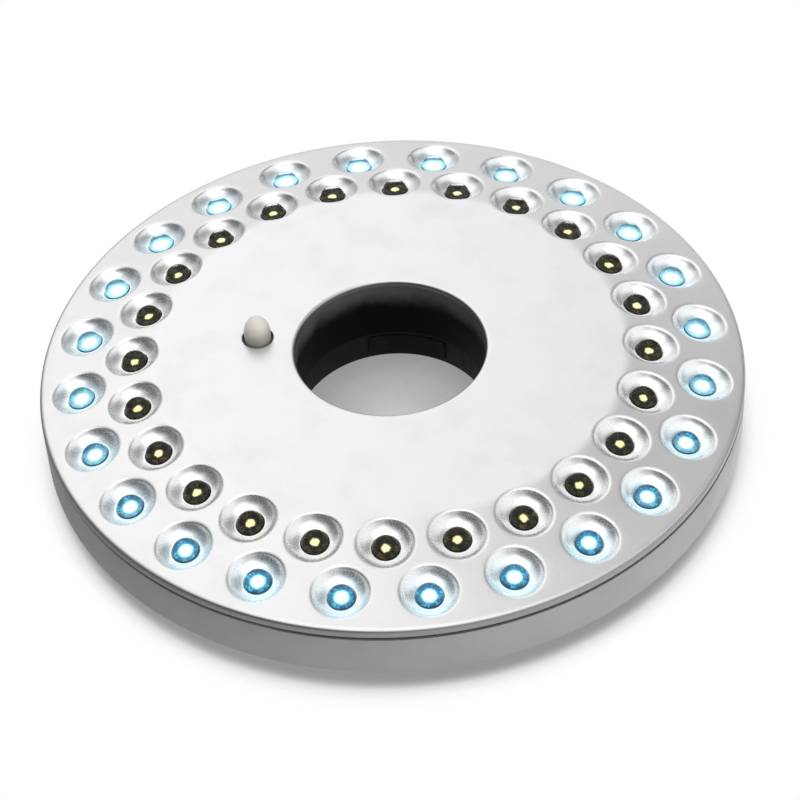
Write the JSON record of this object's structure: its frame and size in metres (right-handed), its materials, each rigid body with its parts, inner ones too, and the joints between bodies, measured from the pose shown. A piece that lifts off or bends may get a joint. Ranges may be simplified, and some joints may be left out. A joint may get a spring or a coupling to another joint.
{
  "type": "patio umbrella light",
  "caption": "Round battery light that clamps on an umbrella pole, with two rings of lamps in reflector cups, a push button and fold-out hooks.",
  "frame": {"origin": "on the pole axis, in the plane that the light stands on when its lit face is up", "axes": "+Z along the pole axis towards the lit face; the push button is on -X and the sliding jaw on -Y"},
  "size_m": [0.21, 0.21, 0.0388],
  "materials": {
    "silver_paint": "fine metallic silver paint on moulded plastic, satin",
    "silver_shell": "fine metallic silver paint on moulded plastic, satin",
    "lit_lamp": "clear water-white lens, lit cool white",
    "unlit_lamp": "clear water-white lens, unlit, yellow phosphor spot",
    "circuit_board": "green solder mask",
    "resistor": "tan lacquer",
    "steel": "zinc plated",
    "spring_steel": "nickel plated spring wire",
    "cream_plastic": "satin off-white moulding",
    "white_plastic": "plain white moulding",
    "black_plastic": "black moulding, faint sheen",
    "rubber": "matte black rubber",
    "cell_wrap": "printed wrap, plain colours",
    "wire_white": "smooth PVC",
    "wire_red": "smooth PVC",
    "wire_black": "smooth PVC"
  },
  "bodies": {
    "housing": {"front_cover": "silver_paint", "rear_housing": "silver_shell", "outer_lamps": "lit_lamp", "inner_lamps": "unlit_lamp", "lamp_board": "circuit_board", "resistors": "resistor", "board_screws": "steel", "button_spring": "spring_steel", "switch_body": "black_plastic", "switch_lid": "steel", "switch_board": "circuit_board", "switch_screws": "steel", "battery_1": "cell_wrap", "battery_2": "cell_wrap", "battery_3": "cell_wrap", "battery_4": "cell_wrap", "contact_springs": "spring_steel", "contact_plates": "spring_steel", "clamp_ring": "black_plastic", "fixed_pad": "rubber", "clamp_screws": "steel", "jaw_spring_right": "spring_steel", "jaw_spring_left": "spring_steel", "guide_plate": "black_plastic", "guide_screws": "steel", "hook_pin_near": "steel", "hook_pin_far": "steel", "housing_screws": "steel", "wire_bridge": "wire_white", "wire_supply": "wire_red", "wire_lamps": "wire_red", "wire_return": "wire_black"},
    "button": {"push_button": "cream_plastic", "switch_plunger": "white_plastic"},
    "jaw": {"clamp_jaw": "black_plastic", "jaw_pad": "rubber"},
    "door_right": {"battery_door_right": "silver_shell"},
    "door_left": {"battery_door_left": "silver_shell"},
    "hook_near": {"hook_near": "silver_shell"},
    "hook_far": {"hook_far": "silver_shell"}
  },
  "joints": [
    {"name": "button_press", "type": "slide", "parent": "housing", "child": "button", "axis": [0, 0, -1], "range_m": [0, 0.0016], "stiffness_N_per_m": 400, "springref_m": -0.002, "deforming": ["button_spring"]},
    {"name": "jaw_slide", "type": "slide", "parent": "housing", "child": "jaw", "axis": [0, -1, 0], "range_m": [0, 0.019], "stiffness_N_per_m": 500, "springref_m": -0.012, "deforming": ["jaw_spring_right", "jaw_spring_left"]},
    {"name": "door_right_hinge", "type": "hinge", "parent": "housing", "child": "door_right", "pos_m": [0.0493, 0.0261, 0.0013], "axis": [1, 0, 0], "range_deg": [0, 85]},
    {"name": "door_left_hinge", "type": "hinge", "parent": "housing", "child": "door_left", "pos_m": [-0.0493, 0.0261, 0.0013], "axis": [1, 0, 0], "range_deg": [0, 85]},
    {"name": "hook_near_hinge", "type": "hinge", "parent": "housing", "child": "hook_near", "pos_m": [-0.014, -0.08, 0.0033], "axis": [0, 1, 0], "range_deg": [0, 90]},
    {"name": "hook_far_hinge", "type": "hinge", "parent": "housing", "child": "hook_far", "pos_m": [-0.014, 0.08, 0.0033], "axis": [0, 1, 0], "range_deg": [0, 90]}
  ]
}
